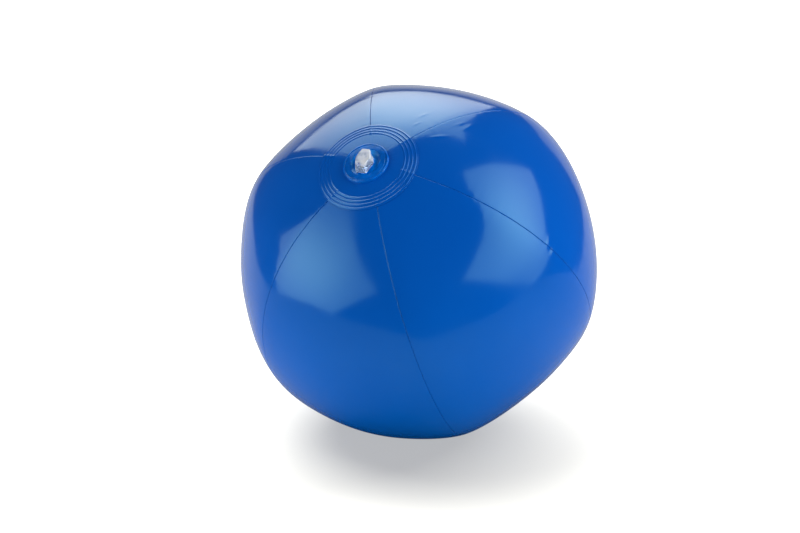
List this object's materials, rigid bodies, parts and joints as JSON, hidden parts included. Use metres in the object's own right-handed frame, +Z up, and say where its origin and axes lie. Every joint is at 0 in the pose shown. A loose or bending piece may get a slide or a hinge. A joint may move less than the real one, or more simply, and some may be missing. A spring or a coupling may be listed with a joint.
{
  "type": "inflatable beach ball",
  "caption": "Inflatable beach ball of welded film panels with a film disc at each pole and a push-in valve with a tethered plug and a check flap.",
  "frame": {"origin": "on the floor, in the middle of the patch on which the ball stands", "axes": "+Z up, +X to the right and +Y away as seen from the front; the valve's axis leans 37.9 degrees from +Z towards the front left"},
  "size_m": [0.2508, 0.2543, 0.2393],
  "materials": {
    "blue_film": "gloss",
    "clear_vinyl": "gloss"
  },
  "bodies": {
    "ball": {"panel_1": "blue_film", "panel_2": "blue_film", "panel_3": "blue_film", "panel_4": "blue_film", "panel_5": "blue_film", "panel_6": "blue_film", "end_disc": "blue_film", "valve_disc": "blue_film", "valve_flange": "clear_vinyl", "valve_diaphragm": "clear_vinyl"},
    "stem": {"valve_stem": "clear_vinyl", "plug_tether": "clear_vinyl"},
    "plug": {"valve_plug": "clear_vinyl"},
    "flap": {"check_flap": "clear_vinyl"}
  },
  "joints": [
    {"name": "valve_sink", "type": "slide", "parent": "ball", "child": "stem", "axis": [-0.2964, -0.538, 0.7891], "range_m": [-0.008, 0], "deforming": ["valve_diaphragm"]},
    {"name": "plug_pull", "type": "slide", "parent": "stem", "child": "plug", "axis": [-0.2964, -0.538, 0.7891], "range_m": [0, 0.0065], "deforming": ["plug_tether"]},
    {"name": "flap_open", "type": "hinge", "parent": "stem", "child": "flap", "pos_m": [-0.02485, -0.04305, 0.20366], "axis": [0.9035, -0.4258, 0.049], "range_deg": [0, 60], "stiffness_Nm_per_rad": 0.00002, "springref_deg": -11.46}
  ]
}
